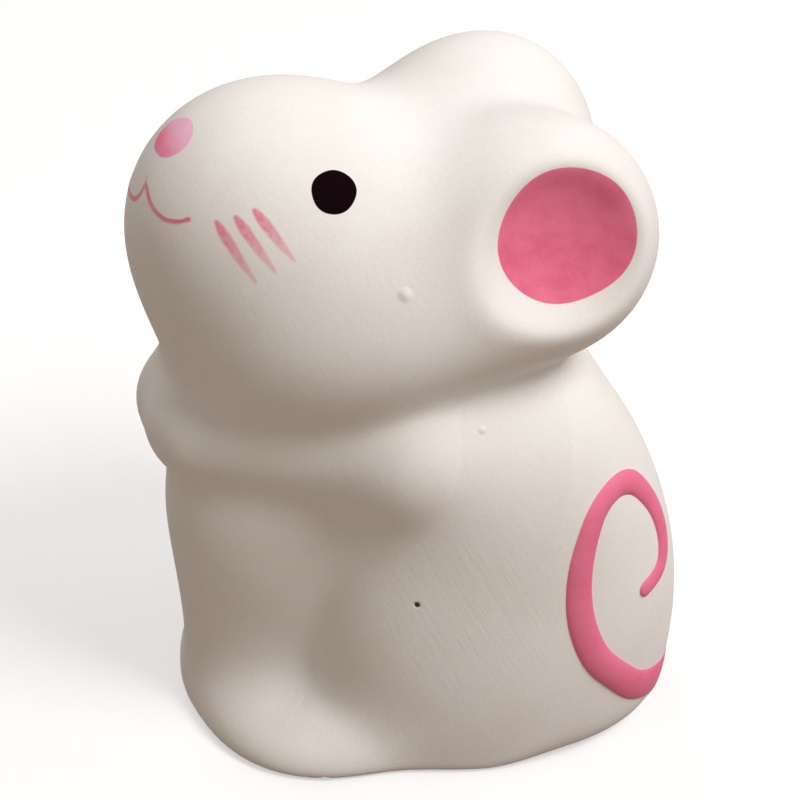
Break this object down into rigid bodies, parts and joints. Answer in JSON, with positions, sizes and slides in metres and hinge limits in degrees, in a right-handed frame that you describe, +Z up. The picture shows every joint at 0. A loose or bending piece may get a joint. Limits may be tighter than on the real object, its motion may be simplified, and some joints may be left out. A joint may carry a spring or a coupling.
{
  "type": "mouse figurine",
  "caption": "Small hand-painted moulded clay mouse figurine, crouched on a flat base, with dished ears and a curled relief tail",
  "frame": {"origin": "centre of the slab's seat on the ground plane, under the trunk, on the figure's middle plane", "axes": "+Z up, the mouse faces -Y, its left side is +X, the middle plane is x = 0"},
  "size_m": [0.0401, 0.0508, 0.0645],
  "materials": {
    "white_clay": "matt white coat over clay",
    "tail_pink": "matt pink paint over clay",
    "ear_pink": "matt paint film",
    "nose_pink": "matt paint film",
    "line_pink": "thin brushed paint",
    "eye_dark": "dark paint dot"
  },
  "bodies": {
    "figure": {"body_left_half": "white_clay", "body_right_half": "white_clay", "base_plate": "white_clay", "tail": "tail_pink", "nose": "nose_pink", "mouth": "line_pink", "ear_lining_left": "ear_pink", "eye_left": "eye_dark", "whisker_left_1": "line_pink", "whisker_left_2": "line_pink", "whisker_left_3": "line_pink", "ear_lining_right": "ear_pink", "eye_right": "eye_dark", "whisker_right_1": "line_pink", "whisker_right_2": "line_pink", "whisker_right_3": "line_pink"}
  },
  "joints": []
}
